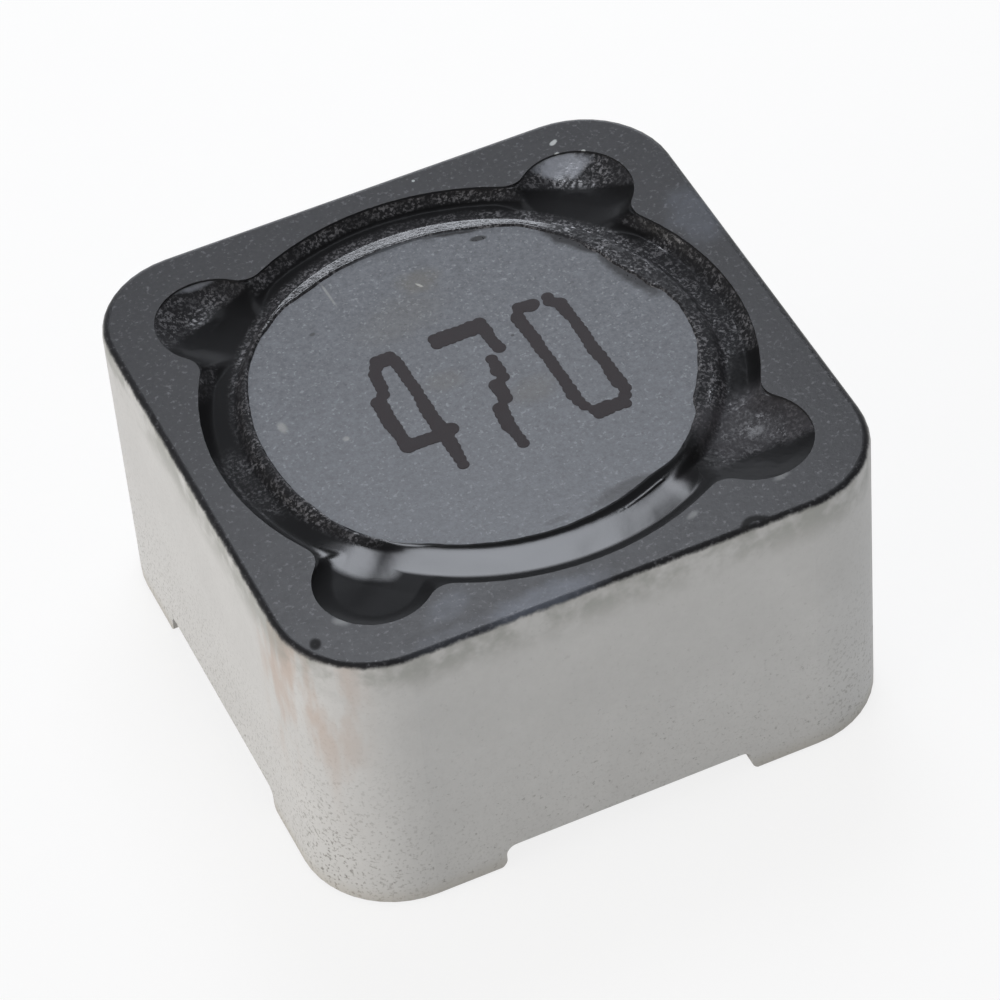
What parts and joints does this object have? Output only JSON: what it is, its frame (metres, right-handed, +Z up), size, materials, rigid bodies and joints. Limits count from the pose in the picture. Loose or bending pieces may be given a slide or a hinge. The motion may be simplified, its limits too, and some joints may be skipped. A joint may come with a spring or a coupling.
{
  "type": "shielded smd power inductor",
  "caption": "Square shielded surface-mount inductor: wound ferrite bobbin in a ferrite ring, joined by a black lobed adhesive bead, on flat solder terminals.",
  "frame": {"origin": "centre of the square body in the plane of the two solder pads' undersides", "axes": "+Z up out of the circuit board, +X from the left solder pad towards the right one, +Y towards the tops of the printed digits"},
  "size_m": [0.012, 0.012, 0.0067],
  "materials": {
    "shield_ferrite": "matte sintered",
    "bobbin_ferrite": "fine ground, matte",
    "enamelled_wire": "clear enamel",
    "black_adhesive": "glossy cast",
    "tinned_terminal": "matte tin",
    "terminal_adhesive": "satin",
    "solder": "bright solder",
    "marking_ink": "matte printed"
  },
  "bodies": {
    "root": {"shield_ring": "shield_ferrite", "bobbin_core": "bobbin_ferrite", "copper_coil": "enamelled_wire", "adhesive_bead": "black_adhesive", "terminal_right": "tinned_terminal", "terminal_left": "tinned_terminal", "terminal_glue_right": "terminal_adhesive", "terminal_glue_left": "terminal_adhesive", "solder_joint_right": "solder", "solder_joint_left": "solder"}
  },
  "joints": []
}
